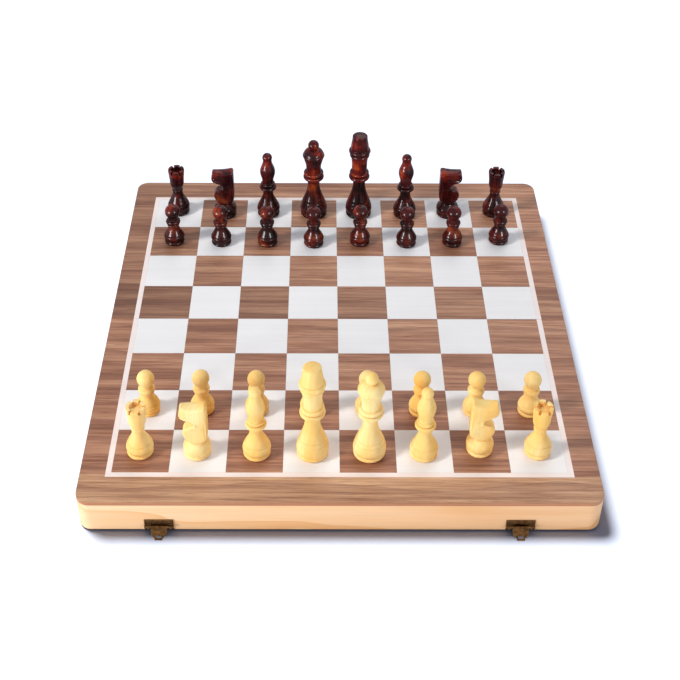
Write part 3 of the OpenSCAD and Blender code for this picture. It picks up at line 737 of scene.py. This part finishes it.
def horse_head(rows=120, sides=96):
    """Closed pillow over the side view. Each row joins a point of the nape to one of the throat
    and face; the topmost row follows the poll from ear to brow. A row's section is a
    superellipse, round at the seat and nearly square above, and it closes at both ends."""
    top = KNIGHT_H
    nape = [(-5.4, 12.8), (-6.9, 15.2), (-8.3, 18.4), (-8.8, 23), (-8.8, 34), (-8.7, top - 6),
            (-8.3, top - 1.2), (-7.2, top)]
    face = [(5.4, 12.8), (7, 15), (8.9, 18.6), (9.7, 22.4), (9.2, 26), (7.2, 28.4), (4, 29.8),
            (1.2, 31.8), (2, 34.8), (5, 36.6), (8.6, 37.6), (10.8, 38.7), (11.6, 41.4),
            (11.1, 45.4), (10.6, top - 2.2), (9.8, top - 0.7)]
    poll = [(-7.2, top), (-5.4, top - 0.3), (-3, top - 1), (2, top - 1.6), (6.5, top - 1.3),
            (9.8, top - 0.7)]
    t = np.sin(np.linspace(0, np.pi / 2, rows)) ** 1.2
    a = np.linspace(0, 2 * np.pi, sides, endpoint=False)
    power = 2 + 7 * np.clip(t / 0.22, 0, 1) ** 1.5
    u = (1 - np.sign(np.cos(a)) * np.abs(np.cos(a)) ** (2 / power[:, None])) / 2
    back, front = curve_through(nape, t), curve_through(face, t)
    line = curve_through(poll, np.linspace(0, 1, 200))
    base_line = np.linspace(0, 1, 200)[:, None] * (line[-1] - line[0]) + line[0]
    sag = [np.interp(u, np.linspace(0, 1, 200), (line - base_line)[:, i]) for i in (0, 1)]
    pull = (t ** 5)[:, None]
    x = back[:, :1] + (front[:, :1] - back[:, :1]) * u + pull * sag[0]
    z = back[:, 1:] + (front[:, 1:] - back[:, 1:]) * u + pull * sag[1]
    close = (1 - t ** 40) ** 0.5 * (1 - (1 - t) ** 60) ** 0.5
    thick = SLAB * np.interp(x, [-11, -7, 0, 6, 12], [0.82, 1, 1, 0.9, 0.7]) * close[:, None]
    for groove in (-7, -4, -1, 2):
        reach = np.clip((z - 19) / 4, 0, 1) * np.clip((top - 8 - 1.2 * abs(groove + 4) - z) / 6, 0, 1)
        thick -= 0.5 * reach * np.exp(-(((x - groove) / 0.55) ** 2))
    for eye_x, eye_z, r, deep in ((2.6, top - 5.6, 1.5, 0.9), (9.6, top - 7.7, 0.8, 0.6)):
        thick -= deep * np.exp(-((np.hypot(x - eye_x, z - eye_z) / r) ** 4))
    mouth = np.abs(z - (top - 10.8) + 0.14 * (x - 10))
    thick -= 0.7 * np.exp(-((mouth / 0.45) ** 2)) * np.clip((x - 5.5) / 1.5, 0, 1)
    y = -np.sign(np.sin(a)) * np.abs(np.sin(a)) ** (2 / power[:, None]) * thick
    return x, y, z


def small_ball(x0, y0, z0, r, sides=16):
    """A sphere of radius r round a point."""
    lift = np.linspace(-np.pi / 2, np.pi / 2, 9)[:, None]
    a = np.linspace(0, 2 * np.pi, sides, endpoint=False)
    out = r * np.cos(lift)
    return x0 + out * np.cos(a), y0 + out * np.sin(a), z0 + r * np.sin(lift) + 0 * a


eyes = [small_ball(2.6, side * 4.5, KNIGHT_H - 5.6, 0.9) for side in (-1, 1)]
for man in ("knight_left", "knight_right"):
    stand(man, [revolve(knight_base), horse_head(), *eyes], from_back=KNIGHT_D / 2)


# ---- Studio ----
# The men are lit from the left, two low lamps in front reach the pine, and two more are seen only
# as sparks on the men. The table has a sun of its own, which brings its grey-blue up to white and
# throws the short shadow of the box to the front and right.

TABLE_HALF, TABLE_COLOUR = 4.0, (0.53, 0.57, 0.66, 1)
table_top, _, table_inputs, _ = new_material("table", Roughness=0.9, Specular_IOR_Level=0.0)
table_inputs["Base Color"].default_value = TABLE_COLOUR
corners = [(TABLE_HALF * x, TABLE_HALF * y, 0) for x, y in ((-1, -1), (1, -1), (1, 1), (-1, 1))]
floor_mesh = bpy.data.meshes.new("floor")
floor_mesh.from_pydata(corners, [], [(0, 1, 2, 3)])
floor_mesh.materials.append(table_top)
floor = bpy.data.objects.new("floor", floor_mesh)
bpy.context.scene.collection.objects.link(floor)


def lit_pieces(name, how):
    """The pieces that a lamp lights: only the table, or all but the table."""
    pieces = bpy.data.collections.new(name)
    pieces.objects.link(floor)
    pieces.collection_objects[0].light_linking.link_state = how
    return pieces


ON_TABLE, ON_BOARD = lit_pieces("table_only", "INCLUDE"), lit_pieces("all_but_table", "EXCLUDE")
BOX = bpy.data.collections.new("box")
for name in ("near_panel", "far_panel", "near_end_wall", "near_left_wall", "near_right_wall",
             "far_end_wall", "far_left_wall", "far_right_wall"):
    BOX.objects.link(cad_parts[name])


def hang(light, place, lights, matte, gloss):
    """Hangs a lamp up so that it faces the middle of the board and lights the named pieces. It can
    be left out of the matte light or out of reflections."""
    piece = bpy.data.objects.new(light.name, light)
    bpy.context.scene.collection.objects.link(piece)
    gaze = Matrix.Translation(place)
    aim = (-gaze.translation).to_track_quat("-Z", "Y").to_matrix().to_4x4()
    piece.matrix_world = gaze @ aim
    piece.light_linking.receiver_collection = lights
    piece.visible_diffuse = matte
    piece.visible_glossy = gloss
    return piece


def lamp(name, place, size, power, lights, matte=True, gloss=True):
    """A square area lamp, hung up."""
    light = bpy.data.lights.new(name, "AREA")
    light.size = size
    light.energy = power
    return hang(light, place, lights, matte, gloss)


lamp("window", (-2.2, -0.7, 2.4), 0.5, 60, ON_BOARD, gloss=False)
lamp("back", (0.6, 2.1, 3.0), 2.6, 46, ON_BOARD)
lamp("low_left", (-1.25, -1.05, 0.24), 0.3, 11.5, ON_BOARD, gloss=False)
lamp("low_right", (0.95, -1.15, 0.5), 0.3, 4.6, ON_BOARD, gloss=False)
lamp("spark_left", (-1.3, -0.95, 0.2), 0.6, 46, MEN, matte=False)
lamp("spark_right", (1.0, -1.12, 0.56), 0.5, 22, MEN, matte=False)

SUN_POWER, SUN_WIDTH, SUN_AT = 6.4, math.radians(20), (-1.1, 0.93, 3.0)
sun = bpy.data.lights.new("over_table", "SUN")
sun.energy, sun.angle = SUN_POWER, SUN_WIDTH
hung_sun = hang(sun, SUN_AT, ON_TABLE, matte=True, gloss=False)
hung_sun.light_linking.blocker_collection = BOX

AROUND, BACKGROUND = (0.16, 0.185, 0.25, 1), (1, 1, 1, 1)
world = bpy.data.worlds.new("surround")
bpy.context.scene.world = world
world.use_nodes = True
sky = world.node_tree
path = put(sky, "LightPath").outputs
seen = calc(sky, "MAXIMUM", path["Is Camera Ray"],
            calc(sky, "MAXIMUM", path["Is Glossy Ray"], path["Is Transmission Ray"]))
feed(sky, sky.nodes["Background"].inputs, Color=tinted(sky, seen, AROUND, BACKGROUND))
